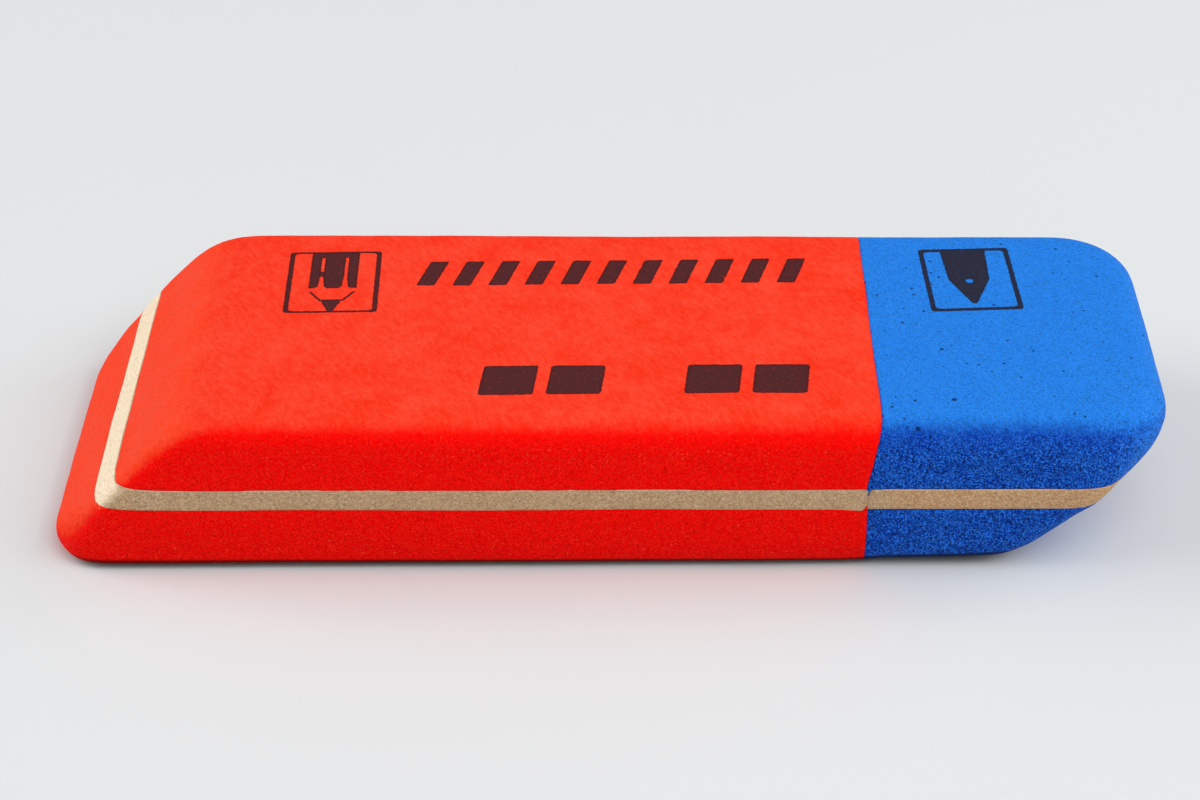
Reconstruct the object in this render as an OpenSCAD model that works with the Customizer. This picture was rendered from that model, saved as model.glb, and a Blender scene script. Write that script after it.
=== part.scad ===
// Two-tone laminated rubber eraser: a slanted, tumbled block that lies flat.
// A red length and a blue length are bonded end to end, and each of them is a
// sandwich of two coloured rubber layers with a thin cream core between them.
// Units are millimetres and +Z is up. The origin is the middle of the underside's
// box, the red end points to -X and the long front flank faces -Y.

/* [Block] */
// Length of the red rubber, from the red tip to the seam at core level
red_length = 42.5; // [30:0.5:55]
// Length of the blue rubber, from the seam at core level to the blue tip
blue_length = 15.5; // [12:0.5:25]
// Width across the two long flanks
width = 21; // [16:0.5:30]

/* [Layers] */
// Thickness of the coloured layers under the core
bottom_layer_t = 3.8; // [2.5:0.05:6]
// Thickness of the cream core
core_t = 1.2; // [0.5:0.05:2.5]
// Thickness of the coloured layers over the core
top_layer_t = 3.6; // [2.5:0.05:6]

/* [Seam] */
// How much farther from the red tip the seam lies at the top face than at the core
seam_lean = 0.4; // [0:0.05:1.5]
// Rounding of the red side's core, where its lower corner meets the seam
red_core_corner_r = 0.35; // [0.1:0.05:0.5]
// Rounding of the blue side's core, where its upper corner meets the seam
blue_core_corner_r = 0.25; // [0.1:0.05:0.5]

/* [Red end] */
// Slope of the red end face from the vertical, in degrees; its tip is at the bottom
red_end_slope = 44.5; // [25:0.5:50]
// Rounding of the red tip in side view
red_tip_r = 0.95; // [0.5:0.05:1.4]
// Rounding of the red tip's front corner in top view
red_front_corner_r = 2.9; // [2:0.1:5]
// Rounding of the red tip's back corner in top view
red_back_corner_r = 3.4; // [2:0.1:5]
// Rounding of the red end's upper shoulder in side view
red_shoulder_r = 5; // [2:0.1:5]
// Height above the underside where the corner rounding has run out into the edge rounding
red_corner_h = 3.3; // [2:0.1:4.5]
// Rounding of the long edges and of the sloping edges at the red end
red_edge_r = 1.1; // [0.6:0.05:1.5]

/* [Blue end] */
// Slope of the blue end face from the vertical, in degrees; its tip is at the top
blue_end_slope = 54.5; // [25:0.5:58]
// Rounding of the blue tip in side view
blue_tip_r = 1.85; // [0.8:0.05:2]
// Rounding of the blue tip's front corner in top view
blue_front_corner_r = 4.9; // [3:0.1:6]
// Rounding of the blue tip's back corner in top view
blue_back_corner_r = 4.3; // [3:0.1:6]
// Rounding of the blue end's lower shoulder in side view
blue_shoulder_r = 4.3; // [2:0.1:5]
// Depth below the top face where the corner rounding has run out into the edge rounding
blue_corner_h = 4.4; // [2.5:0.1:5]
// Rounding of the long edges and of the sloping edges at the blue end
blue_edge_r = 1.5; // [0.6:0.05:2]

/* [Hidden] */

length = red_length + blue_length;
height = bottom_layer_t + core_t + top_layer_t;
core_bottom = bottom_layer_t;
core_top = bottom_layer_t + core_t;

// Cutting profiles reach this far past the block
margin = 1;
// Facets of the rounded shapes that the block is hulled from
facets = 32;

// How far the point where a sloped end would meet the base lies outside its rounded tip
function overshoot(slope, tip_r) = tip_r * ((1 + sin(slope)) / cos(slope) - 1);

// Distance from that point to the centre of a round of radius r at height h, when
// the round touches the sloped end from inside
function inset(slope, r, h) = h * tan(slope) + r / cos(slope);

// A ring with a round section, axis along Z: outer_r over all, tube_r in section,
// turned through sweep degrees from +X towards +Y
module ring(outer_r, tube_r, sweep = 360) {
    rotate_extrude(angle = sweep, $fn = facets)
        intersection() {
            translate([outer_r - tube_r, 0])
                circle(tube_r, $fn = facets);
            translate([0, -tube_r])
                square([outer_r, 2 * tube_r]);
        }
}

// The rounds that bound one sloped end, with its tip at x = 0 on the base z = 0
module end_rounds(slope, tip_r, front_corner_r, back_corner_r, shoulder_r, corner_h, edge_r) {
    foot = -overshoot(slope, tip_r);
    run_out_h = min(corner_h, height - edge_r);
    for (side = [-1, 1]) {
        corner_r = side < 0 ? front_corner_r : back_corner_r;
        // tip corner
        translate([corner_r, side * (width / 2 - corner_r), tip_r])
            ring(corner_r, tip_r);
        // sloping edge between the end face and the flank
        translate([foot + inset(slope, edge_r, run_out_h), side * (width / 2 - edge_r), run_out_h])
            sphere(edge_r, $fn = facets);
        // shoulder where the end face rolls over into the far face
        translate([
            foot + inset(slope, shoulder_r, height - shoulder_r),
            side * (width / 2 - edge_r),
            height - shoulder_r
        ])
            rotate([90, 0, 0])
                ring(shoulder_r, edge_r, sweep = 180);
    }
}

// The whole block before it is parted into layers, with the red tip at x = 0
module block() {
    hull() {
        end_rounds(
            red_end_slope, red_tip_r, red_front_corner_r, red_back_corner_r,
            red_shoulder_r, red_corner_h, red_edge_r
        );
        translate([length, 0, height])
            rotate([0, 180, 0])
                end_rounds(
                    blue_end_slope, blue_tip_r, blue_front_corner_r, blue_back_corner_r,
                    blue_shoulder_r, blue_corner_h, blue_edge_r
                );
    }
}

// Side-view profiles: x runs from the red tip, y is the height
module red_core_profile() {
    difference() {
        translate([-margin, core_bottom])
            square([red_length + margin, core_t]);
        translate([red_length - red_core_corner_r, core_bottom])
            corner_nick(red_core_corner_r);
    }
}

module blue_core_profile() {
    difference() {
        translate([red_length, core_bottom])
            square([blue_length + margin, core_t]);
        translate([red_length + blue_core_corner_r, core_top])
            rotate(180)
                corner_nick(blue_core_corner_r);
    }
}

// What a rounding of radius r takes off the lower right corner of a square, from x = 0 to x = r
module corner_nick(r) {
    difference() {
        square([r, r]);
        translate([0, r])
            circle(r, $fn = 4 * facets);
    }
}

module red_bottom_profile() {
    translate([-margin, -margin])
        square([red_length + margin, margin + core_bottom]);
    translate([red_length - red_core_corner_r, core_bottom])
        corner_nick(red_core_corner_r);
}

module red_top_profile() {
    polygon([
        [-margin, core_top],
        [red_length, core_top],
        [red_length + seam_lean, height],
        [red_length + seam_lean, height + margin],
        [-margin, height + margin]
    ]);
}

module blue_bottom_profile() {
    translate([red_length, -margin])
        square([blue_length + margin, margin + core_bottom]);
}

module blue_top_profile() {
    polygon([
        [red_length, core_top],
        [length + margin, core_top],
        [length + margin, height + margin],
        [red_length + seam_lean, height + margin],
        [red_length + seam_lean, height]
    ]);
    translate([red_length + blue_core_corner_r, core_top])
        rotate(180)
            corner_nick(blue_core_corner_r);
}

// The part of the block that lies inside a side-view profile, at its place
module layer() {
    translate([-length / 2, 0, 0])
        intersection() {
            block();
            rotate([90, 0, 0])
                linear_extrude(width + 2 * margin, center = true)
                    children();
        }
}

module red_bottom_layer() {
    color("orangered")
        layer() red_bottom_profile();
}

module red_core_layer() {
    color("wheat")
        layer() red_core_profile();
}

module red_top_layer() {
    color("orangered")
        layer() red_top_profile();
}

module blue_bottom_layer() {
    color("royalblue")
        layer() blue_bottom_profile();
}

module blue_core_layer() {
    color("wheat")
        layer() blue_core_profile();
}

module blue_top_layer() {
    color("royalblue")
        layer() blue_top_profile();
}

red_bottom_layer();
red_core_layer();
red_top_layer();
blue_bottom_layer();
blue_core_layer();
blue_top_layer();
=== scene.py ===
"""Looks of a two-tone laminated rubber eraser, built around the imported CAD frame.

Every shape is built in millimetres from the frame's own boxes and meshes, and goes
into the scene in metres. The six layers are cut from one worn, slightly uneven block.
"""
import math

import bmesh
import bpy
import numpy as np
from mathutils import Matrix, Vector, noise
from mathutils.bvhtree import BVHTree


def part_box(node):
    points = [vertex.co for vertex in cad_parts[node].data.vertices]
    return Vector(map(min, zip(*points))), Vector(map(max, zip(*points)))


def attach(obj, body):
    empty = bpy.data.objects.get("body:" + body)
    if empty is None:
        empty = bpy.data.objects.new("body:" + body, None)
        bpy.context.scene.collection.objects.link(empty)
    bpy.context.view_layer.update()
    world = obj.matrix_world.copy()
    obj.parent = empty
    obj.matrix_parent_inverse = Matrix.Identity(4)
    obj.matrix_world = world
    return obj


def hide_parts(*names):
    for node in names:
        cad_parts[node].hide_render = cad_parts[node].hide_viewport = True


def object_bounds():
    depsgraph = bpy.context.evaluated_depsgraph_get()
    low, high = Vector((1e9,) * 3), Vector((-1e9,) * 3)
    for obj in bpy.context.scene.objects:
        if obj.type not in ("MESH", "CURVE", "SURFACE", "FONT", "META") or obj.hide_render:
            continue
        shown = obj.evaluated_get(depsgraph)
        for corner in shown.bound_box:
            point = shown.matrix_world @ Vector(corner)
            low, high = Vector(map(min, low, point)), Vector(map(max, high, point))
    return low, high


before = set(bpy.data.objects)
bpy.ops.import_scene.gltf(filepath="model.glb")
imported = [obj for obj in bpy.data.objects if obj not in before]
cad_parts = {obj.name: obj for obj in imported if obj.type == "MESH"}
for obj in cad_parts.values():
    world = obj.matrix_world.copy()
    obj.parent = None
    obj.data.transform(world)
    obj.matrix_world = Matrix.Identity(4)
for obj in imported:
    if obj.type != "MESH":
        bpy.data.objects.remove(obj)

MM = 0.001
CAD_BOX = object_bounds()


def node_box(name):
    """Lowest and highest corner of a CAD node, in millimetres."""
    low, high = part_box(name)
    return low / MM, high / MM


# ---------------------------------------------------------------- sizes from the frame

LOW, HIGH = CAD_BOX[0] / MM, CAD_BOX[1] / MM
HALF_WIDTH = HIGH.y
HEIGHT = HIGH.z
CORE_BOTTOM = node_box("red_core_layer")[0].z
CORE_TOP = node_box("red_core_layer")[1].z
SEAM_X = node_box("red_core_layer")[1].x
SEAM_TOP_X = node_box("red_top_layer")[1].x
RED_CORNER_R = node_box("red_bottom_layer")[1].z - CORE_BOTTOM
BLUE_CORNER_R = CORE_TOP - node_box("blue_top_layer")[0].z

# How far the cores' corners are rounded off at the seam along X and Z: the CAD's rounds drawn
# out up the seam, and a small upper one that the CAD leaves out
RED_CORNER = (RED_CORNER_R, 0.62)
BLUE_CORNER = (BLUE_CORNER_R, 0.55)
RED_UPPER_CORNER = (0.1, 0.25)

# ---------------------------------------------------------------- meshes


def new_object(name, data):
    """A new object of the scene that holds a mesh, a lamp or a camera."""
    obj = bpy.data.objects.new(name, data)
    bpy.context.scene.collection.objects.link(obj)
    return obj


def baked_mesh(obj):
    """The mesh that obj shows with its modifiers, which replaces obj itself."""
    bpy.context.view_layer.update()
    depsgraph = bpy.context.evaluated_depsgraph_get()
    mesh = bpy.data.meshes.new_from_object(obj.evaluated_get(depsgraph), depsgraph=depsgraph)
    bpy.data.objects.remove(obj)
    return mesh


def coordinates(mesh):
    """The mesh's vertices as rows (x, y, z)."""
    points = np.empty(len(mesh.vertices) * 3, np.float32)
    mesh.vertices.foreach_get("co", points)
    return points.reshape(-1, 3)


def move_vertices(mesh, points):
    """Puts the mesh's vertices at new places."""
    mesh.vertices.foreach_set("co", points.astype(np.float32).ravel())
    mesh.update()


def ramp(values, start, end):
    """0 at start and before it, 1 at end and past it, and a smooth rise between them."""
    share = np.clip((values - start) / (end - start), 0, 1)
    return share * share * (3 - 2 * share)


def lumps(points, wavelength, offset=0.0):
    """Smooth noise from about -1 to 1 at each point, with bumps of that wavelength."""
    shift = Vector((offset, 2 * offset, 3 * offset))
    return np.array([noise.noise(Vector(p) / wavelength + shift) for p in points])


def waves(points, kinds):
    """Bumps of several kinds: each has its length, its height and its noise's offset."""
    return sum(height * lumps(points, length, offset) for length, height, offset in kinds)


# ---------------------------------------------------------------- the block

# Spacing of the block's mesh, and how often it is smoothed
VOXEL, SMOOTHING_PASSES = 0.13, 26


def smooth_block():
    """The whole block as one even, finely meshed skin: the CAD nodes' hull without its facets."""
    shell = bmesh.new()
    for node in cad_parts.values():
        for vertex in node.data.vertices:
            shell.verts.new(vertex.co / MM)
    bmesh.ops.remove_doubles(shell, verts=shell.verts, dist=1e-4)
    hull = bmesh.ops.convex_hull(shell, input=shell.verts)
    inner = [item for item in hull["geom_interior"] if isinstance(item, bmesh.types.BMVert)]
    bmesh.ops.delete(shell, geom=inner, context="VERTS")
    mesh = bpy.data.meshes.new("block")
    shell.to_mesh(mesh)
    shell.free()
    block = new_object("block", mesh)
    remesh = block.modifiers.new("remesh", "REMESH")
    remesh.mode = "VOXEL"
    remesh.voxel_size = VOXEL
    smooth = block.modifiers.new("smooth", "SMOOTH")
    smooth.factor = 0.5
    smooth.iterations = SMOOTHING_PASSES
    mesh = baked_mesh(block)
    # smoothing draws the rounded ends in a little, so the block is fitted back to its box
    points = coordinates(mesh)
    low, high = points.min(0), points.max(0)
    share = (points - low) / (high - low)
    move_vertices(mesh, np.array(LOW) + share * np.array(HIGH - LOW))
    return mesh


# Where the flanks end in a crisp lower edge: its height above the floor along the block
EDGE_PLACES = (LOW.x, SEAM_X - 1.5, SEAM_X + 0.5, SEAM_X + 4.5, SEAM_X + 6.5)
EDGE_HEIGHTS = (0.48, 0.37, 0.47, 0.6, 0.72)
# The edge is worked out over this stretch from the red tip, and over this one from the blue tip,
# where the end's slope comes down to the floor
RED_EDGE_START, BLUE_EDGE_START = (0.3, 2.5), (5.5, 9.5)
# The underside starts this share of that height above the floor and slopes down over this width
GAP_SHARE, GAP_WIDTH = 0.55, 2.8
# How far in from the flanks it starts to slope down
GAP_BORDER = 0.3
# The block's own rounding of its lower edges, which the flanks fill down to the crisp edge
RED_ROUND, BLUE_ROUND = 1.2, 1.6
# The share of that rounding that is filled, and the heights between which the filling sets in
RED_FILL, BLUE_FILL = 0.65, 0.15
FILL_START = (0.1, 0.35)
# The red side's lower edge turns into the blue side's over this distance to each side of the seam
SEAM_BLEND = 1

# How far the long flanks belly out at half their height, and over what width the belly sets in
FLANK_BELLY, BELLY_WIDTH = 0.2, 1.5
# Places where the block is worn off its plain shape: (x, y, z), depth and reach in millimetres
DENTS = [
    ((LOW.x + 1.7, HIGH.y - 0.7, 2.4), -0.15, 1.1),
    ((LOW.x + 2.5, HIGH.y - 0.3, 3.4), 0.22, 0.9),
    ((LOW.x + 3.6, HIGH.y - 0.1, 4.5), 0.08, 0.9),
    ((LOW.x + 0.1, HIGH.y - 3.0, 1.0), 0.12, 0.8),
    ((HIGH.x - 8.2, LOW.y + 0.1, 1.2), -0.04, 0.9),
]
# The red end's face leans back by this much for each millimetre of height
RED_SLOPE = 0.983
# Its front edge is worn rounder all the way up
DENTS += [
    ((LOW.x + 3 + RED_SLOPE * (z - 4.4), LOW.y + 0.1, z), 0.17, 1.1)
    for z in (3.2, 4.4, 5.6, 6.8, 7.8)
]
# Places where the blue end's front corner is pressed aside: (x, y, z), the shift and its reach
SHIFTS = [
    ((HIGH.x - 0.4, LOW.y + 3.1, 6.3), (-0.12, 0, 0.04), 1.3),
    ((HIGH.x - 2.8, LOW.y + 1.0, 4.9), (-0.25, -0.4, 0.1), 1.1),
    ((HIGH.x - 3.8, LOW.y + 0.6, 3.5), (-0.14, -0.05, 0.15), 1.1),
    ((HIGH.x - 4.8, LOW.y + 0.4, 2.8), (-0.14, 0, 0.2), 1.1),
    ((HIGH.x - 6.1, LOW.y + 0.4, 1.8), (-0.08, 0, 0.13), 1.2),
    ((HIGH.x - 7.8, LOW.y + 0.4, 0.8), (0, 0, 0.13), 0.9),
]
# The skin's unevenness: the length and height of its bumps, and the noise's offset
SKIN_WAVES = ((7.0, 0.045, 0.0), (1.7, 0.016, 3.7), (0.42, 0.005, 9.1))
# It draws the skin in by this much on the whole
SKIN_DRAWN_IN = 0.0305
# The underside stays flat, and the unevenness sets in up to this height
FLAT_HEIGHT = 0.8


def vertex_normals(mesh):
    """The directions that the mesh's vertices face, as rows (x, y, z)."""
    normals = np.empty(len(mesh.vertices) * 3, np.float32)
    mesh.vertex_normals.foreach_get("vector", normals)
    return normals.reshape(-1, 3)


def blend_at_seam(x, red_value, blue_value):
    """The red side's value left of the seam and the blue side's right of it."""
    return red_value + (blue_value - red_value) * ramp(x, SEAM_X - SEAM_BLEND, SEAM_X + SEAM_BLEND)


def lower_edge(x):
    """Height of the flanks' crisp lower edge at x, and how far it is worked out there, 0 to 1."""
    part = ramp(x - LOW.x, *RED_EDGE_START) * ramp(HIGH.x - x, *BLUE_EDGE_START)
    return np.interp(x, EDGE_PLACES, EDGE_HEIGHTS), part


def shape_underside(mesh):
    """Crisp lower edges, and an underside that touches the floor only inside its border."""
    points = coordinates(mesh)
    normals = vertex_normals(mesh)
    x, y, z = points.T
    edge, part = lower_edge(x)
    rounding = blend_at_seam(x, RED_ROUND, BLUE_ROUND)
    # how far the rounding has drawn the flank in at this height, but for its level last stretch
    drop = np.clip(rounding - z, 0, 0.9 * rounding)
    drawn_in = rounding - np.sqrt(rounding**2 - drop**2)
    fill = blend_at_seam(x, RED_FILL, BLUE_FILL) * drawn_in * ramp(z, *FILL_START) * part
    # it is filled along the level part of the skin's direction
    level = np.maximum(np.hypot(normals[:, 0], normals[:, 1]), 0.2)
    points[:, :2] += normals[:, :2] * (fill / level)[:, None]
    border = np.minimum(HALF_WIDTH - np.abs(y), x - LOW.x)
    gap = GAP_SHARE * edge * part * (1 - ramp(border, GAP_BORDER, GAP_BORDER + GAP_WIDTH))
    points[:, 2] = np.where(z < edge, gap + (1 - gap / edge) * z, z)
    move_vertices(mesh, points)


def nearness(points, centre, reach):
    """1 at the centre, falling off smoothly around it."""
    away = np.linalg.norm(points - np.array(centre), axis=1)
    return np.exp(-((away / reach) ** 2))


def wear(mesh):
    """Bellies the long flanks out, presses the dents in and shifts the blue corner."""
    points = coordinates(mesh)
    middle = (points[:, 2] - HEIGHT / 2) / (HEIGHT / 2)
    flank = ramp(HALF_WIDTH - np.abs(points[:, 1]), BELLY_WIDTH, 0)
    depth = -FLANK_BELLY * np.maximum(1 - middle**2, 0) * flank
    for centre, amount, reach in DENTS:
        depth += amount * nearness(points, centre, reach)
    moved = points - vertex_normals(mesh) * depth[:, None]
    for centre, shift, reach in SHIFTS:
        moved += nearness(points, centre, reach)[:, None] * np.array(shift)
    move_vertices(mesh, moved)


def age(mesh):
    """Makes the moulded and cut block slightly uneven, as rubber is."""
    points = coordinates(mesh)
    lift = (waves(points, SKIN_WAVES) - SKIN_DRAWN_IN) * ramp(points[:, 2], 0, FLAT_HEIGHT)
    move_vertices(mesh, points + vertex_normals(mesh) * lift[:, None])


# ---------------------------------------------------------------- cutting it into layers

# Cutting cells reach this far past the block
MARGIN = 1.0
LEFT, RIGHT = LOW.x - MARGIN, HIGH.x + MARGIN
UNDER, OVER = LOW.z - MARGIN, HIGH.z + MARGIN
# Spacing of a cell's points across the block and along its profile
CELL_ROW, CELL_STEP = 0.5, 0.15
# The bond lies this much farther along X than drawn, and leans this much more at the top face
SEAM_SHIFT, EXTRA_LEAN = -0.2, 0.22
# How the pressed layers waver in height, and the bonded seam along X: length, height, offset
LAYER_WAVES = ((9.0, 0.03, 1.3), (1.9, 0.014, 5.1), (0.33, 0.006, 7.7))
SEAM_WAVES = ((6.0, 0.09, 2.9), (1.1, 0.03, 8.3))
# The layers waver this much less across the block than along it
ACROSS_SHARE = 0.5
# How far the red core's underside sags where it runs out against the seam, and over what reach
SAG_DEPTH, SAG_REACH = 0.1, 1.3


def arc(centre, reach, start, end, steps=10):
    """Points (x, z) on an oval, reach (x, z) from its centre, from start to end degrees."""
    angles = [math.radians(start + (end - start) * i / steps) for i in range(steps + 1)]
    return [(centre[0] + reach[0] * math.cos(a), centre[1] + reach[1] * math.sin(a)) for a in angles]


# Side-view lines (x, z) that the layers share, each from left to right or from bottom to top
RED_CORE_LOW = [(LEFT, CORE_BOTTOM)] + arc(
    (SEAM_X - RED_CORNER[0], CORE_BOTTOM + RED_CORNER[1]), RED_CORNER, -90, 0
)
RED_CORE_HIGH = [(LEFT, CORE_TOP)] + arc(
    (SEAM_X - RED_UPPER_CORNER[0], CORE_TOP - RED_UPPER_CORNER[1]), RED_UPPER_CORNER, 90, 0
)
BLUE_CORE_LOW = [(SEAM_X, CORE_BOTTOM), (RIGHT, CORE_BOTTOM)]
BLUE_CORE_HIGH = arc(
    (SEAM_X + BLUE_CORNER[0], CORE_TOP - BLUE_CORNER[1]), BLUE_CORNER, 180, 90
) + [(RIGHT, CORE_TOP)]
LOW_SEAM = [(SEAM_X, UNDER), (SEAM_X, CORE_BOTTOM)]
HIGH_SEAM = [
    (SEAM_X - RED_UPPER_CORNER[0], CORE_TOP),
    (SEAM_TOP_X + EXTRA_LEAN, HEIGHT),
    (SEAM_TOP_X + EXTRA_LEAN, OVER),
]
# Where the two cores and their rounded corners meet, from bottom to top
CORE_SEAM = [(SEAM_X, CORE_BOTTOM), RED_CORE_LOW[-1], BLUE_CORE_HIGH[0], RED_CORE_HIGH[-1]]

PROFILES = {
    "red_bottom_layer": [(LEFT, UNDER)] + LOW_SEAM + CORE_SEAM[1:2] + RED_CORE_LOW[-2::-1],
    "red_core_layer": RED_CORE_LOW + CORE_SEAM[2:4] + RED_CORE_HIGH[-2::-1],
    "red_top_layer": RED_CORE_HIGH[:2] + HIGH_SEAM[1:] + [(LEFT, OVER)],
    "blue_bottom_layer": LOW_SEAM + [(RIGHT, CORE_BOTTOM), (RIGHT, UNDER)],
    "blue_core_layer": BLUE_CORE_LOW[::-1] + CORE_SEAM[1:3] + BLUE_CORE_HIGH[1:],
    "blue_top_layer": (
        RED_CORE_HIGH[1:] + BLUE_CORE_HIGH + [(RIGHT, OVER)] + HIGH_SEAM[:0:-1]
    ),
}


def resampled(points, step):
    """The closed line through points, with each straight stretch cut into equal steps."""
    line = []
    for (x0, z0), (x1, z1) in zip(points, points[1:] + points[:1]):
        steps = max(1, math.ceil(math.hypot(x1 - x0, z1 - z0) / step))
        line += [(x0 + (x1 - x0) * i / steps, z0 + (z1 - z0) * i / steps) for i in range(steps)]
    return line


def waver(points):
    """Shifts the points of a cell the way the pressed layers and the bonded seam waver."""
    x, y, z = points.T
    wave = waves(np.stack([x, y * ACROSS_SHARE, x * 0], 1), LAYER_WAVES)
    drift = waves(np.stack([x * 0, y, z], 1), SEAM_WAVES)
    sagging = (x < SEAM_X) & (z < (CORE_BOTTOM + CORE_TOP) / 2)
    sag = SAG_DEPTH * np.exp(-(((x - SEAM_X) / SAG_REACH) ** 2)) * sagging
    return np.stack([x + drift + SEAM_SHIFT, y, z + wave - sag], 1)


def cell(profile):
    """A closed prism of a side-view profile, across the block, with wavering faces."""
    outline = resampled(profile, CELL_STEP)
    rows = math.ceil(2 * (HALF_WIDTH + MARGIN) / CELL_ROW)
    count = len(outline)
    points = [
        (x, (HALF_WIDTH + MARGIN) * (2 * row / rows - 1), z)
        for row in range(rows + 1)
        for x, z in outline
    ]
    faces = [
        (
            row * count + i,
            (row + 1) * count + i,
            (row + 1) * count + (i + 1) % count,
            row * count + (i + 1) % count,
        )
        for row in range(rows)
        for i in range(count)
    ]
    faces += [tuple(range(count)), tuple(range((rows + 1) * count - 1, rows * count - 1, -1))]
    mesh = bpy.data.meshes.new("cell")
    mesh.from_pydata(waver(np.array(points)).tolist(), [], faces)
    shape = bmesh.new()
    shape.from_mesh(mesh)
    bmesh.ops.recalc_face_normals(shape, faces=shape.faces)
    bmesh.ops.triangulate(shape, faces=[face for face in shape.faces if len(face.verts) > 4])
    shape.to_mesh(mesh)
    shape.free()
    return new_object("cell", mesh)


# Corners that a cut leaves nearer to each other than this are one corner
WELD = 0.004


def joined_groups(shape):
    """The faces in groups that edges with two faces each join, the largest group last."""
    groups = []
    left = set(shape.faces)
    while left:
        group = [left.pop()]
        for face in group:
            for edge in face.edges:
                if len(edge.link_faces) != 2:
                    continue
                for other in edge.link_faces:
                    if other in left:
                        left.remove(other)
                        group.append(other)
        groups.append(group)
    return sorted(groups, key=len)


def weld_slivers(mesh):
    """Welds the needle faces that a cut leaves, and drops the faces that fold up as it does."""
    shape = bmesh.new()
    shape.from_mesh(mesh)
    bmesh.ops.remove_doubles(shape, verts=shape.verts, dist=WELD)
    bmesh.ops.triangulate(shape, faces=shape.faces)
    same_corners = {}
    for face in shape.faces:
        same_corners.setdefault(frozenset(face.verts), []).append(face)
    folded = [face for faces in same_corners.values() if len(faces) > 1 for face in faces]
    bmesh.ops.delete(shape, geom=folded, context="FACES")
    stray = [face for group in joined_groups(shape)[:-1] for face in group]
    bmesh.ops.delete(shape, geom=stray, context="FACES")
    shape.to_mesh(mesh)
    shape.free()


# Edges sharper than this stay sharp when the piece is shaded smooth
SHARP_ANGLE = math.radians(38)
# How deep the skin is drawn in along the bonds between the layers
BOND_DEPTH = 0.03
# A cut edge lies in the skin if it is this near to it; near the top face every one does
ON_SKIN, TOP_BAND = 0.004, 0.3
# How steep the skin is where its bonds are marked: the underside's aren't
FLAT_FACING = 0.9


def mark_bonds(mesh, skin):
    """Draws the skin in along the cut edges and marks them with a "rim" of 1 for the materials."""
    rim = np.zeros(len(mesh.vertices), np.float32)
    sharp = mesh.attributes["sharp_edge"].data
    for edge in mesh.edges:
        if not sharp[edge.index].value:
            continue
        for index in edge.vertices:
            if rim[index]:
                continue
            vertex = mesh.vertices[index]
            _, normal, _, away = skin.find_nearest(vertex.co)
            on_side = away < ON_SKIN and abs(normal.z) < FLAT_FACING
            if on_side or vertex.co.z > HEIGHT - TOP_BAND:
                rim[index] = 1
                vertex.co -= normal * BOND_DEPTH
    mesh.attributes.new("rim", "FLOAT", "POINT").data.foreach_set("value", rim)


# How far the painted shade on the strip that rolls under reaches up from the crisp lower edge, how
# soft its upper border is, and the heights over which it sets in above the floor
RED_UNDER_SHADE_RISE, BLUE_UNDER_SHADE_RISE = 0.24, 0.36
UNDER_SHADE_BORDER, UNDER_SHADE_START = 0.16, (0.02, 0.2)


def mark_lower_edge(mesh):
    """Marks the strip that rolls under at the lower edge with a 1, where the materials paint its
    shade.
    """
    x, _, z = coordinates(mesh).T
    edge, part = lower_edge(x)
    top = edge + blend_at_seam(x, RED_UNDER_SHADE_RISE, BLUE_UNDER_SHADE_RISE)
    under_shade = part * ramp(z, top, top - UNDER_SHADE_BORDER) * ramp(z, *UNDER_SHADE_START)
    mesh.attributes.new("under_shade", "FLOAT", "POINT").data.foreach_set("value", under_shade)


def cut_layer(name, block, skin, profile, material):
    """The part of the block inside a side-view profile, as a piece of the scene in metres."""
    piece = new_object(name, block.copy())
    cutter = cell(profile)
    boolean = piece.modifiers.new("cut", "BOOLEAN")
    boolean.operation = "INTERSECT"
    boolean.solver = "MANIFOLD"
    boolean.object = cutter
    mesh = baked_mesh(piece)
    bpy.data.objects.remove(cutter)
    weld_slivers(mesh)
    mesh.name = name
    mesh.shade_smooth()
    mesh.set_sharp_from_angle(angle=SHARP_ANGLE)
    mark_bonds(mesh, skin)
    mark_lower_edge(mesh)
    mesh.transform(Matrix.Scale(MM, 4))
    mesh.materials.clear()
    mesh.materials.append(material)
    return new_object(name, mesh)


# ---------------------------------------------------------------- materials


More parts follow.
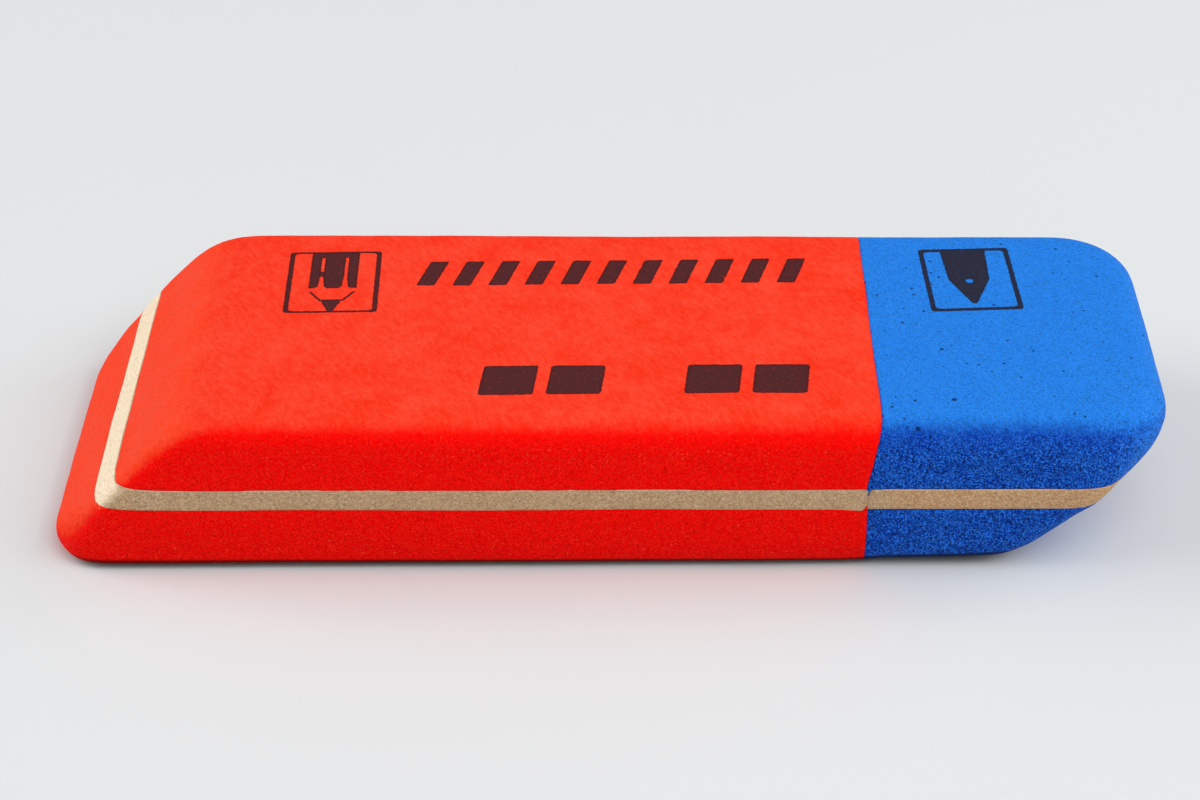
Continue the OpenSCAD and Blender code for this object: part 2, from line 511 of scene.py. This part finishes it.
class Shader:
    """Builds a node material.

    x, y and z are the place on the object in millimetres; facing_x, facing_y and facing_z are
    the parts of the direction that the surface faces there.
    """

    def __init__(self, name):
        self.material = bpy.data.materials.new(name)
        self.material.use_nodes = True
        self.tree = self.material.node_tree
        self.tree.nodes.clear()
        output = self.node("ShaderNodeOutputMaterial")
        self.bsdf = self.node("ShaderNodeBsdfPrincipled")
        self.link(self.bsdf.outputs["BSDF"], output.inputs["Surface"])
        place = self.node("ShaderNodeTexCoord")
        scale = self.node("ShaderNodeVectorMath", operation="SCALE")
        scale.inputs["Scale"].default_value = 1 / MM
        self.link(place.outputs["Object"], scale.inputs[0])
        self.position = scale.outputs[0]
        split = self.node("ShaderNodeSeparateXYZ")
        self.link(self.position, split.inputs[0])
        self.x, self.y, self.z = split.outputs
        facing = self.node("ShaderNodeSeparateXYZ")
        self.link(place.outputs["Normal"], facing.inputs[0])
        self.facing_x, self.facing_y, self.facing_z = facing.outputs

    def node(self, kind, **settings):
        """A new node with those settings."""
        made = self.tree.nodes.new(kind)
        for key, value in settings.items():
            setattr(made, key, value)
        return made

    def link(self, source, target):
        """Joins an output to an input."""
        self.tree.links.new(source, target)

    def feed(self, socket, value):
        """Sets a socket to a number or colour, or links another node's output to it."""
        if isinstance(value, bpy.types.NodeSocket):
            self.link(value, socket)
        else:
            socket.default_value = value

    def math(self, operation, *values):
        """The result of one operation on numbers or other nodes' outputs."""
        made = self.node("ShaderNodeMath", operation=operation)
        for socket, value in zip(made.inputs, values):
            self.feed(socket, value)
        return made.outputs[0]

    def ramp(self, value, start, end):
        """0 at start, 1 at end, smooth between them."""
        made = self.node("ShaderNodeMapRange", interpolation_type="SMOOTHSTEP")
        for key, item in (("Value", value), ("From Min", start), ("From Max", end)):
            self.feed(made.inputs[key], item)
        return made.outputs[0]

    def mix(self, share, first, second):
        """The first colour at a share of 0, the second at 1."""
        made = self.node("ShaderNodeMix", data_type="RGBA")
        # the colour sockets come after the number and vector ones
        for index, value in ((0, share), (6, first), (7, second)):
            self.feed(made.inputs[index], value)
        return made.outputs[2]

    def tint(self, colour, share, amount, other):
        """Mixes the other colour in by share times amount."""
        return self.mix(self.math("MULTIPLY", share, amount), colour, other)

    def stretched(self, times, turn=0):
        """The position for textures that are that many times as long along X as across it and
        are turned by turn degrees about Z."""
        made = self.node("ShaderNodeMapping", vector_type="TEXTURE")
        made.inputs["Rotation"].default_value = (0, 0, math.radians(turn))
        made.inputs["Scale"].default_value = (times, 1, 1)
        self.link(self.position, made.inputs["Vector"])
        return made.outputs[0]

    def noise(self, size, detail=2, roughness=0.5, vector=None):
        """Noise from 0 to 1 whose lumps are about size millimetres across."""
        made = self.node("ShaderNodeTexNoise")
        self.link(vector or self.position, made.inputs["Vector"])
        made.inputs["Scale"].default_value = 1 / size
        made.inputs["Detail"].default_value = detail
        made.inputs["Roughness"].default_value = roughness
        return made.outputs["Fac"]

    def cells(self, size):
        """Crisp cells about size millimetres across: three random numbers from 0 to 1 in each,
        and the distance from its middle, where 1 is the size."""
        made = self.node("ShaderNodeTexVoronoi")
        self.link(self.position, made.inputs["Vector"])
        made.inputs["Scale"].default_value = 1 / size
        split = self.node("ShaderNodeSeparateColor")
        self.link(made.outputs["Color"], split.inputs[0])
        return split.outputs, made.outputs["Distance"]

    def spots(self, spacing, radius, share):
        """Scattered round spots: 1 inside them. share of the cells, spacing apart, hold one."""
        (choice, growth, _), distance = self.cells(spacing)
        chosen = self.math("LESS_THAN", choice, share)
        # from 0.3 to 1 of the radius, with the outer 0.3 of it soft
        full = radius / spacing
        size = self.math("MULTIPLY_ADD", growth, 0.7 * full, 0.3 * full)
        near = self.ramp(distance, size, self.math("MULTIPLY", size, 0.7))
        return self.math("MULTIPLY", chosen, near)

    def grains(self, colour, value, share, amount, other):
        """Tints the share of the cells whose random value is lowest, the lowest ones most."""
        return self.tint(colour, self.ramp(value, share, 0), amount, other)

    def facing_to(self, x, y, z):
        """How much the surface faces a fixed direction in the scene: 1 straight at it."""
        level = self.math(
            "MULTIPLY_ADD", self.facing_x, x, self.math("MULTIPLY", self.facing_y, y)
        )
        return self.math("MULTIPLY_ADD", self.facing_z, z, level)

    def mark(self, name):
        """A mark that the mesh carries: "rim" along the layers' bonds, and the one at the lower edge
        that marks where shade is painted.
        """
        return self.node("ShaderNodeAttribute", attribute_name=name).outputs["Fac"]

    def rim(self):
        """1 along the bonds between the layers, 0 a grain away from them."""
        return self.ramp(self.mark("rim"), 0.35, 0.95)

    def local(self, centre, turn):
        """Coordinates (u, v) in the top view round centre, turned by turn degrees."""
        cos, sin = math.cos(math.radians(turn)), math.sin(math.radians(turn))
        x = self.math("SUBTRACT", self.x, centre[0])
        y = self.math("SUBTRACT", self.y, centre[1])
        u = self.math("ADD", self.math("MULTIPLY", x, cos), self.math("MULTIPLY", y, sin))
        v = self.math("SUBTRACT", self.math("MULTIPLY", y, cos), self.math("MULTIPLY", x, sin))
        return u, v

    def straight(self, u, v, facing, offset):
        """Signed distance to a straight edge that faces one way and is that far off at u = v = 0."""
        over_u = self.math("MULTIPLY_ADD", u, facing[0], offset)
        return self.math("ADD", over_u, self.math("MULTIPLY", v, facing[1]))

    def both(self, *distances):
        """Signed distance to where shapes overlap, negative inside them all."""
        nearest = distances[0]
        for distance in distances[1:]:
            nearest = self.math("MAXIMUM", nearest, distance)
        return nearest

    def either(self, *distances):
        """Signed distance to the nearest of several shapes."""
        nearest = distances[0]
        for distance in distances[1:]:
            nearest = self.math("MINIMUM", nearest, distance)
        return nearest

    def box(self, u, v, half_u, half_v, corner_r):
        """Signed distance to a box round u = v = 0, rounded within corner_r of its corners."""
        beyond_u = self.math("SUBTRACT", self.math("ABSOLUTE", u), half_u)
        beyond_v = self.math("SUBTRACT", self.math("ABSOLUTE", v), half_v)
        return self.math("SMOOTH_MAX", beyond_u, beyond_v, corner_r)

    def rest(self, distance):
        """Signed distance to all that a shape leaves free."""
        return self.math("MULTIPLY", distance, -1)

    def line(self, distance, width):
        """Signed distance to a line of that width along a shape's outline."""
        return self.math("SUBTRACT", self.math("ABSOLUTE", distance), width / 2)

    def surface(self, colour, roughness, height, depth):
        """Gives the surface its colour, a dull shine and bumps of height times depth millimetres."""
        self.feed(self.bsdf.inputs["Base Color"], colour)
        self.bsdf.inputs["Roughness"].default_value = roughness
        self.bsdf.inputs["Specular IOR Level"].default_value = 0.12
        made = self.node("ShaderNodeBump")
        made.inputs["Distance"].default_value = depth * MM
        self.link(height, made.inputs["Height"])
        self.link(made.outputs["Normal"], self.bsdf.inputs["Normal"])

    def dust(self, shine_colour, amount, colour):
        """A faint coloured sheen, as of chalky dust, and the colour of the dull shine."""
        self.bsdf.inputs["Specular Tint"].default_value = shine_colour
        self.bsdf.inputs["Sheen Weight"].default_value = amount
        self.bsdf.inputs["Sheen Roughness"].default_value = 0.4
        self.bsdf.inputs["Sheen Tint"].default_value = colour


# ---------------------------------------------------------------- the print

# Where the signs and the plain marks lie on the top face, measured from the seam, and how far
# each is turned, in degrees
PENCIL_CENTRE, PENCIL_TURN = (SEAM_X - 28.485, 4.44), 1.3
NIB_CENTRE, NIB_TURN = (SEAM_X + 6.18, 4.55), 2.0
BARS_CENTRE, BARS_TURN = (SEAM_X - 13.3, 5.45), 0.6
BLOCKS_CENTRE, BLOCKS_TURN = (SEAM_X - 11.55, -5.7), 0.4
# Half sizes of the frames round the signs, and the widths of their upright and level lines
PENCIL_FRAME, PENCIL_LINES = (2.39, 3.2), (0.28, 0.18)
NIB_FRAME, NIB_LINES = (2.34, 3.2), (0.28, 0.3)
FRAME_CORNER_R = 0.4
# The row of bars: how many, their spacing, half size, corners and lean
BAR_COUNT, BAR_PITCH, BAR_SIZE, BAR_CORNER_R, BAR_LEAN = 11, 1.96, (0.5, 1.3), 0.2, -0.28
# The plain blocks: where the pairs' and the blocks' middles lie, half size, corners and lean
PAIR_PLACE, BLOCK_PLACE, BLOCK_SIZE = 5.3, 1.75, (1.42, 1.4)
BLOCK_CORNER_R, BLOCK_LEAN = 0.35, -0.1
# The print reaches this far down where the top face rolls over
PRINT_DEPTH = 0.6

# Each of these functions gives a signed distance in millimetres that is negative where there is
# ink; u runs along the mark and v up in it, from its middle


def sign_frame(s, u, v, size, lines):
    """A frame whose upright and level lines differ in width, with rounded corners."""
    half_u, half_v = lines[0] / 2, lines[1] / 2
    outside = s.box(u, v, size[0] + half_u, size[1] + half_v, FRAME_CORNER_R)
    inside = s.box(u, v, size[0] - half_u, size[1] - half_v, FRAME_CORNER_R)
    return s.both(outside, s.rest(inside))


def pencil_sign(s):
    """A framed pencil point."""
    u, v = s.local(PENCIL_CENTRE, PENCIL_TURN)
    side = s.math("ABSOLUTE", u)
    half_width, shaft_foot, gap_place, gap_top = 1.31, -0.72, 0.65, 2.6
    # two gaps part the shaft into three facets: they widen towards their lower ends, where the
    # shaft's end is rounded off beside them, and a blot closes the left one
    off_middle = s.math("ABSOLUTE", s.math("SUBTRACT", side, gap_place))
    gap_half_width = s.math("MULTIPLY_ADD", s.ramp(v, 0.6, -0.7), 0.09, 0.08)
    gap = s.both(s.math("SUBTRACT", off_middle, gap_half_width), s.math("SUBTRACT", v, gap_top))
    rounding = s.math("MULTIPLY", s.ramp(gap, 0.2, 0), 0.14)
    blot = s.box(s.math("ADD", u, gap_place), s.math("SUBTRACT", v, 0.8), 0.2, 0.28, 0.1)
    shaft = s.both(
        s.math("SUBTRACT", side, half_width),
        s.math("SUBTRACT", v, PENCIL_FRAME[1]),
        s.math("ADD", s.math("SUBTRACT", shaft_foot, v), rounding),
        s.rest(s.both(gap, s.rest(blot))),
    )
    # the sharpened cone: two thin lines that run into a solid, blunt lead
    line_top, line_foot, lead_top = -1.08, -2.1, -1.93
    cone_lines = s.both(
        s.line(s.straight(side, v, (0.838, -0.545), -1.602), 0.14),
        s.math("SUBTRACT", v, line_top),
        s.math("SUBTRACT", line_foot, v),
    )
    lead = s.both(
        s.straight(side, v, (0.935, -0.355), -1.254),
        s.math("SUBTRACT", v, lead_top),
        s.math("SUBTRACT", -PENCIL_FRAME[1], v),
    )
    return s.either(sign_frame(s, u, v, PENCIL_FRAME, PENCIL_LINES), shaft, cone_lines, lead)


def nib_sign(s):
    """A framed pen nib with its breather hole."""
    u, v = s.local(NIB_CENTRE, NIB_TURN)
    middle = s.math("ADD", u, 0.05)
    side = s.math("ABSOLUTE", middle)
    nib_foot, hole_v, hole_r = -2.6, -0.2, 0.21
    nib = s.both(
        s.straight(side, v, (1, -0.046), -1.113),
        s.straight(side, v, (0.932, -0.3625), -1.06),
        s.math("SUBTRACT", nib_foot, v),
        s.math("SUBTRACT", v, NIB_FRAME[1]),
    )
    from_hole = s.node("ShaderNodeCombineXYZ")
    s.link(middle, from_hole.inputs[0])
    s.link(s.math("SUBTRACT", v, hole_v), from_hole.inputs[1])
    reach = s.node("ShaderNodeVectorMath", operation="LENGTH")
    s.link(from_hole.outputs[0], reach.inputs[0])
    beside_hole = s.math("SUBTRACT", hole_r, reach.outputs["Value"])
    return s.either(sign_frame(s, u, v, NIB_FRAME, NIB_LINES), s.both(nib, beside_hole))


def slanted_bars(s):
    """A plain row of slanted bars."""
    u, v = s.local(BARS_CENTRE, BARS_TURN)
    along = s.math("MULTIPLY_ADD", v, BAR_LEAN, u)
    in_step = s.math("WRAP", along, BAR_PITCH / 2, -BAR_PITCH / 2)
    # the row ends just past its last bar
    row_end = (BAR_COUNT - 1) / 2 * BAR_PITCH + 0.9
    return s.both(
        s.box(in_step, v, *BAR_SIZE, BAR_CORNER_R),
        s.math("SUBTRACT", s.math("ABSOLUTE", along), row_end),
    )


def plain_blocks(s):
    """Two pairs of wide plain blocks."""
    u, v = s.local(BLOCKS_CENTRE, BLOCKS_TURN)
    along = s.math("MULTIPLY_ADD", v, BLOCK_LEAN, u)
    in_pair = s.math("SUBTRACT", s.math("ABSOLUTE", along), PAIR_PLACE)
    in_block = s.math("SUBTRACT", s.math("ABSOLUTE", in_pair), BLOCK_PLACE)
    return s.box(in_block, v, *BLOCK_SIZE, BLOCK_CORNER_R)


def ink(s, colour, distance, ink_colour, rim_colour):
    """Prints a shape on a colour: ragged at its edges, mottled, with pinholes."""
    distance = s.both(distance, s.math("SUBTRACT", HEIGHT - PRINT_DEPTH, s.z))
    ragged = s.math("MULTIPLY_ADD", s.noise(0.22, detail=3, roughness=0.6), 0.12, -0.06)
    covered = s.ramp(s.math("ADD", distance, ragged), 0.035, -0.035)
    pinholes = s.spots(spacing=0.45, radius=0.05, share=0.25)
    covered = s.math("MULTIPLY", covered, s.math("MULTIPLY_ADD", pinholes, -0.8, 1))
    mottling = s.ramp(s.noise(0.2, detail=3, roughness=0.65), 0.5, 0.8)
    pigment = s.mix(s.ramp(distance, -0.16, -0.02), ink_colour, rim_colour)
    return s.tint(colour, covered, s.math("MULTIPLY_ADD", mottling, -0.12, 0.97), pigment)


# ---------------------------------------------------------------- the rubbers

# Size of their crisp grain in millimetres
GRAIN = 0.068
# The noise that their skin is bumpy with
SKIN_NOISE = {"size": 0.16, "detail": 2, "roughness": 0.7}

# Their colours, as linear red, green, blue and alpha
RED_FLANK = (1, 0.0012, 0.001, 1)
# painted shade of the flank near the floor
RED_LOW_SHADE = (0.5, 0.001, 0.001, 1)
# the faces that look up: a dusty film and painted sheen where the light falls
RED_FILM_AND_SHEEN = (0.88, 0.0275, 0.0065, 1)
# painted light on the end face, lit from the left
RED_END_LIGHT = (1, 0.052, 0.0075, 1)
RED_CHALK = (0.95, 0.085, 0.042, 1)
RED_PORE = (0.4, 0.0008, 0.0006, 1)
RED_GRAIN = (1, 0.02, 0.008, 1)
RED_SPECK = (1, 0.09, 0.05, 1)
RED_CRUMB = (1, 0.36, 0.22, 1)
# painted shade along the layers' bonds
RED_BOND_SHADE = (0.35, 0.004, 0.003, 1)
# painted shade on the strip that rolls under the lower edge
RED_UNDER_SHADE = (0.09, 0.0015, 0.001, 1)
RED_INK = (0.042, 0.016, 0.020, 1)
RED_INK_RIM = (0.0286, 0.0076, 0.01, 1)
RED_SHINE = (1, 0.25, 0.15, 1)
RED_SHEEN = (1, 0.4, 0.3, 1)

BLUE_FLANK = (0.003, 0.043, 0.4, 1)
# the top and the end's side: a dusty film and painted light where the light falls
BLUE_FILM_AND_LIGHT = (0.0165, 0.214, 0.77, 1)
BLUE_CHALK = (0.03, 0.26, 0.8, 1)
BLUE_PORE = (0.001, 0.007, 0.06, 1)
BLUE_GRAIN = (0.03, 0.225, 0.92, 1)
# painted shade in the pits
BLUE_PIT_SHADE = (0.001, 0.01, 0.08, 1)
BLUE_CRUMB = (0.25, 0.5, 0.95, 1)
# painted shade along the layers' bonds
BLUE_BOND_SHADE = (0.001, 0.008, 0.07, 1)
# painted shade on the strip that rolls under the lower edge
BLUE_UNDER_SHADE = (0.003, 0.008, 0.045, 1)
BLUE_INK = (0.0207, 0.0125, 0.0105, 1)
BLUE_INK_RIM = (0.0113, 0.0098, 0.0125, 1)
BLUE_SHINE = (0.25, 0.5, 1, 1)
BLUE_SHEEN = (0.4, 0.6, 1, 1)

CREAM_DEEP = (0.47, 0.305, 0.158, 1)
CREAM_PALE = (0.55, 0.38, 0.22, 1)
CREAM_BLUE_SIDE = (0.58, 0.31, 0.135, 1)
# painted light on the end face, lit from the left
CREAM_END_LIGHT = (1, 0.83, 0.6, 1)
CREAM_PORE = (0.2, 0.125, 0.06, 1)
CREAM_GRAIN = (0.8, 0.62, 0.4, 1)
CREAM_RED_GRAIN = (0.5, 0.22, 0.17, 1)
CREAM_FLAKE = (0.13, 0.09, 0.06, 1)
# painted highlight along the layers' bonds
CREAM_BOND_HIGHLIGHT = (0.85, 0.66, 0.5, 1)
# painted shade where the two cores meet
CREAM_SEAM_SHADE = (0.09, 0.045, 0.04, 1)


def red_rubber(printed):
    """The red layers' material, with or without the print."""
    s = Shader("red_rubber_printed" if printed else "red_rubber")
    # a pale dusty film and painted sheen lie on the faces that look up and to the red end, where the
    # light falls
    patchy = s.math("MULTIPLY_ADD", s.noise(0.3, detail=4, roughness=0.7), 0.36, -0.18)
    film_and_sheen = s.ramp(s.math("ADD", s.facing_to(-0.45, 0.25, 0.86), patchy), 0.34, 0.86)
    bare = s.math("SUBTRACT", 1, film_and_sheen)
    # painted light: the end face, which the light from the left falls on, is paler still
    end = s.math("MULTIPLY", s.ramp(s.facing_x, -0.12, -0.55), film_and_sheen)
    colour = s.mix(end, s.mix(film_and_sheen, RED_FLANK, RED_FILM_AND_SHEEN), RED_END_LIGHT)
    # painted shade: the flank darkens towards the floor
    colour = s.tint(colour, s.ramp(s.z, 4.6, 0.4), s.math("MULTIPLY", bare, 0.18), RED_LOW_SHADE)
    # chalky mottling with faint diagonal streaks in the film and painted sheen
    cloud = s.ramp(s.noise(2.4, detail=4, roughness=0.62), 0.3, 0.75)
    turned = s.stretched(0.35, turn=28)
    streaks = s.ramp(s.noise(0.55, detail=3, roughness=0.6, vector=turned), 0.35, 0.7)
    chalk = s.math("MULTIPLY", s.math("ADD", cloud, streaks), film_and_sheen)
    colour = s.tint(colour, chalk, 0.42, RED_CHALK)
    # crisp grain: dark pores, orange grains and pale specks, fainter on the top face
    (grain, other, _), _ = s.cells(GRAIN)
    rough = s.math("MULTIPLY_ADD", s.ramp(s.facing_z, 0, 0.9), -0.55, 1)
    colour = s.grains(colour, grain, 0.45, s.math("MULTIPLY", rough, 0.45), RED_PORE)
    colour = s.grains(colour, other, 0.4, s.math("MULTIPLY", rough, 0.8), RED_GRAIN)
    specks = s.spots(spacing=0.27, radius=0.062, share=0.4)
    colour = s.tint(colour, specks, s.math("MULTIPLY", rough, 0.5), RED_SPECK)
    crumbs = s.spots(spacing=1.1, radius=0.07, share=0.35)
    colour = s.tint(colour, crumbs, s.math("MULTIPLY_ADD", film_and_sheen, -0.45, 0.6), RED_CRUMB)
    # painted shade along the bonds, where the skin is drawn in, and on the strip where the flank
    # rolls under
    colour = s.tint(colour, s.math("MULTIPLY", s.rim(), bare), 0.5, RED_BOND_SHADE)
    colour = s.tint(colour, s.mark("under_shade"), 0.9, RED_UNDER_SHADE)
    if printed:
        marks = s.either(pencil_sign(s), slanted_bars(s), plain_blocks(s))
        colour = ink(s, colour, marks, RED_INK, RED_INK_RIM)
    s.surface(colour, 0.8, s.noise(**SKIN_NOISE), 0.03)
    s.dust(RED_SHINE, 0.04, RED_SHEEN)
    return s.material


def blue_rubber(printed):
    """The blue layers' material, with or without the print."""
    s = Shader("blue_rubber_printed" if printed else "blue_rubber")
    # painted light, partly a pale dusty film: the top face and the end's rounded side, which face
    # the light from above and the right, are paler than the flank
    patchy = s.math("MULTIPLY_ADD", s.noise(0.3, detail=4, roughness=0.7), 0.3, -0.15)
    top = s.ramp(s.math("ADD", s.facing_to(0.5, 0.2, 0.87), patchy), 0.41, 0.84)
    side = s.ramp(s.math("ADD", s.facing_x, patchy), 0.3, 0.85)
    face = s.math("MAXIMUM", top, s.math("MULTIPLY", side, 0.5))
    bare = s.math("SUBTRACT", 1, face)
    colour = s.mix(face, BLUE_FLANK, BLUE_FILM_AND_LIGHT)
    cloud = s.ramp(s.noise(1.6, detail=3, roughness=0.6), 0.3, 0.75)
    colour = s.tint(colour, cloud, 0.15, BLUE_CHALK)
    # crisp grain: dark pores and light grains, fainter on the top face
    (grain, other, _), _ = s.cells(GRAIN)
    rough = s.math("MULTIPLY_ADD", s.ramp(s.facing_z, 0, 0.95), -0.6, 1)
    colour = s.grains(colour, grain, 0.7, s.math("MULTIPLY", rough, 0.97), BLUE_PORE)
    colour = s.grains(colour, other, 0.5, s.math("MULTIPLY", rough, 0.85), BLUE_GRAIN)
    # small and large pits, with painted shade in them, and a few pale crumbs
    small_pits = s.spots(spacing=0.6, radius=0.1, share=0.6)
    pits = s.math("MAXIMUM", small_pits, s.spots(spacing=1.9, radius=0.17, share=0.4))
    colour = s.tint(colour, pits, 0.85, BLUE_PIT_SHADE)
    colour = s.tint(colour, s.spots(spacing=0.8, radius=0.055, share=0.4), 0.55, BLUE_CRUMB)
    # painted shade along the bonds, where the skin is drawn in, and on the strip where the flank
    # rolls under
    colour = s.tint(colour, s.math("MULTIPLY", s.rim(), bare), 0.7, BLUE_BOND_SHADE)
    colour = s.tint(colour, s.mark("under_shade"), 0.9, BLUE_UNDER_SHADE)
    if printed:
        colour = ink(s, colour, nib_sign(s), BLUE_INK, BLUE_INK_RIM)
    s.surface(colour, 0.8, s.math("MULTIPLY_ADD", pits, -1.2, s.noise(**SKIN_NOISE)), 0.05)
    s.dust(BLUE_SHINE, 0.05, BLUE_SHEEN)
    return s.material


def cream_rubber():
    """The two cores' material."""
    s = Shader("cream_rubber")
    colour = s.mix(s.noise(0.8, detail=3), CREAM_DEEP, CREAM_PALE)
    blue_side = s.ramp(s.math("ADD", s.x, s.noise(1.5)), SEAM_X + 0.3, SEAM_X + 2.5)
    colour = s.tint(colour, blue_side, 0.65, CREAM_BLUE_SIDE)
    # painted light: the end face, which the light from the left falls on, is paler
    end = s.ramp(s.facing_x, -0.35, -0.68)
    colour = s.mix(end, colour, CREAM_END_LIGHT)
    # crisp grain: dark pores, pale grains and a few reddish ones, the first two fainter on the end
    (grain, other, third), _ = s.cells(GRAIN)
    rough = s.math("MULTIPLY", s.math("MULTIPLY_ADD", end, -0.7, 1), 0.5)
    colour = s.grains(colour, grain, 0.6, rough, CREAM_PORE)
    colour = s.grains(colour, other, 0.5, rough, CREAM_GRAIN)
    colour = s.grains(colour, third, 0.35, 0.35, CREAM_RED_GRAIN)
    flakes = s.ramp(s.noise(0.16, detail=1, vector=s.stretched(2.2222)), 0.68, 0.76)
    colour = s.tint(colour, flakes, 0.6, CREAM_FLAKE)
    # painted highlight along the layers' bonds, painted shade where the two cores meet
    from_seam = s.math("ABSOLUTE", s.math("SUBTRACT", s.x, SEAM_X + SEAM_SHIFT))
    edge = s.mix(s.ramp(from_seam, 0.3, 0.15), CREAM_BOND_HIGHLIGHT, CREAM_SEAM_SHADE)
    colour = s.tint(colour, s.rim(), 0.5, edge)
    s.surface(colour, 0.85, s.noise(**SKIN_NOISE), 0.03)
    return s.material


# ---------------------------------------------------------------- the pieces

block = smooth_block()
shape_underside(block)
wear(block)
age(block)
skin = BVHTree.FromPolygons(
    [vertex.co for vertex in block.vertices], [tuple(face.vertices) for face in block.polygons]
)

RED, RED_PRINTED = red_rubber(False), red_rubber(True)
BLUE, BLUE_PRINTED = blue_rubber(False), blue_rubber(True)
CREAM = cream_rubber()

# CAD node: piece name, material, the record's slot
LAYERS = {
    "red_bottom_layer": ("red_bottom_rubber", RED, "red_rubber"),
    "red_core_layer": ("red_side_core", CREAM, "cream_rubber"),
    "red_top_layer": ("red_top_rubber", RED_PRINTED, "red_rubber"),
    "blue_bottom_layer": ("blue_bottom_rubber", BLUE, "blue_rubber"),
    "blue_core_layer": ("blue_side_core", CREAM, "cream_rubber"),
    "blue_top_layer": ("blue_top_rubber", BLUE_PRINTED, "blue_rubber"),
}

for node, (name, material, slot) in LAYERS.items():
    piece = cut_layer(name, block, skin, PROFILES[node], material)
    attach(piece, "root")
    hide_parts(node)

# ---------------------------------------------------------------- floor, light and camera

FLOOR_COLOUR = (0.70, 0.722, 0.731, 1)
# In metres
FLOOR_RADIUS, FLOOR_SIDES = 3.0, 96

disc = bmesh.new()
bmesh.ops.create_circle(disc, cap_ends=True, radius=FLOOR_RADIUS, segments=FLOOR_SIDES)
floor = new_object("floor", bpy.data.meshes.new("floor"))
disc.to_mesh(floor.data)
disc.free()
paper = Shader("floor_paper")
paper.bsdf.inputs["Base Color"].default_value = FLOOR_COLOUR
paper.bsdf.inputs["Roughness"].default_value = 0.9
paper.bsdf.inputs["Specular IOR Level"].default_value = 0.1
floor.data.materials.append(paper.material)

# In metres
LIGHT_DISTANCE = 0.6
# Name: azimuth from the front and elevation in degrees, size in metres, power in watts
LIGHTS = {
    "top_light": (0, 90, 0.25, 0.26),
    "front_light": (0, 30, 0.6, 0.6),
    "left_light": (265, 28, 0.5, 2.17),
    "left_back_light": (225, 30, 0.6, 0.68),
    "right_light": (92, 28, 0.6, 2.45),
    "right_front_light": (50, 55, 0.5, 1.95),
}


def soft_light(name, azimuth, elevation, size, power):
    """A square area light aimed at the middle of the scene."""
    turn = Matrix.Rotation(math.radians(azimuth), 4, "Z") @ Matrix.Rotation(
        math.radians(90 - elevation), 4, "X"
    )
    lamp = bpy.data.lights.new(name, "AREA")
    lamp.shape = "SQUARE"
    lamp.size = size
    lamp.energy = power
    new_object(name, lamp).matrix_world = turn @ Matrix.Translation((0, 0, LIGHT_DISTANCE))


for name, settings in LIGHTS.items():
    soft_light(name, *settings)

WORLD_STRENGTH = 0.08
world = bpy.data.worlds.new("studio")
world.use_nodes = True
background = world.node_tree.nodes["Background"]
background.inputs["Color"].default_value = (1, 1, 1, 1)
background.inputs["Strength"].default_value = WORLD_STRENGTH
bpy.context.scene.world = world

CAMERA_TARGET = Vector((-0.446, 0, 3.715)) * MM
CAMERA_DISTANCE = 163.81 * MM
# In degrees
CAMERA_ELEVATION, CAMERA_AZIMUTH, CAMERA_ROLL = 32.258, 0.759, -0.545
CAMERA_LENS = 90.9

camera = bpy.data.cameras.new("camera")
camera.lens = CAMERA_LENS
camera.clip_start = 0.01
eye = new_object("camera", camera)
turn = (
    Matrix.Rotation(math.radians(CAMERA_AZIMUTH), 4, "Z")
    @ Matrix.Rotation(math.radians(90 - CAMERA_ELEVATION), 4, "X")
    @ Matrix.Rotation(math.radians(CAMERA_ROLL), 4, "Z")
)
eye.matrix_world = Matrix.Translation(CAMERA_TARGET + turn.col[2].xyz * CAMERA_DISTANCE) @ turn
bpy.context.scene.camera = eye
bpy.context.scene.view_settings.view_transform = "Standard"
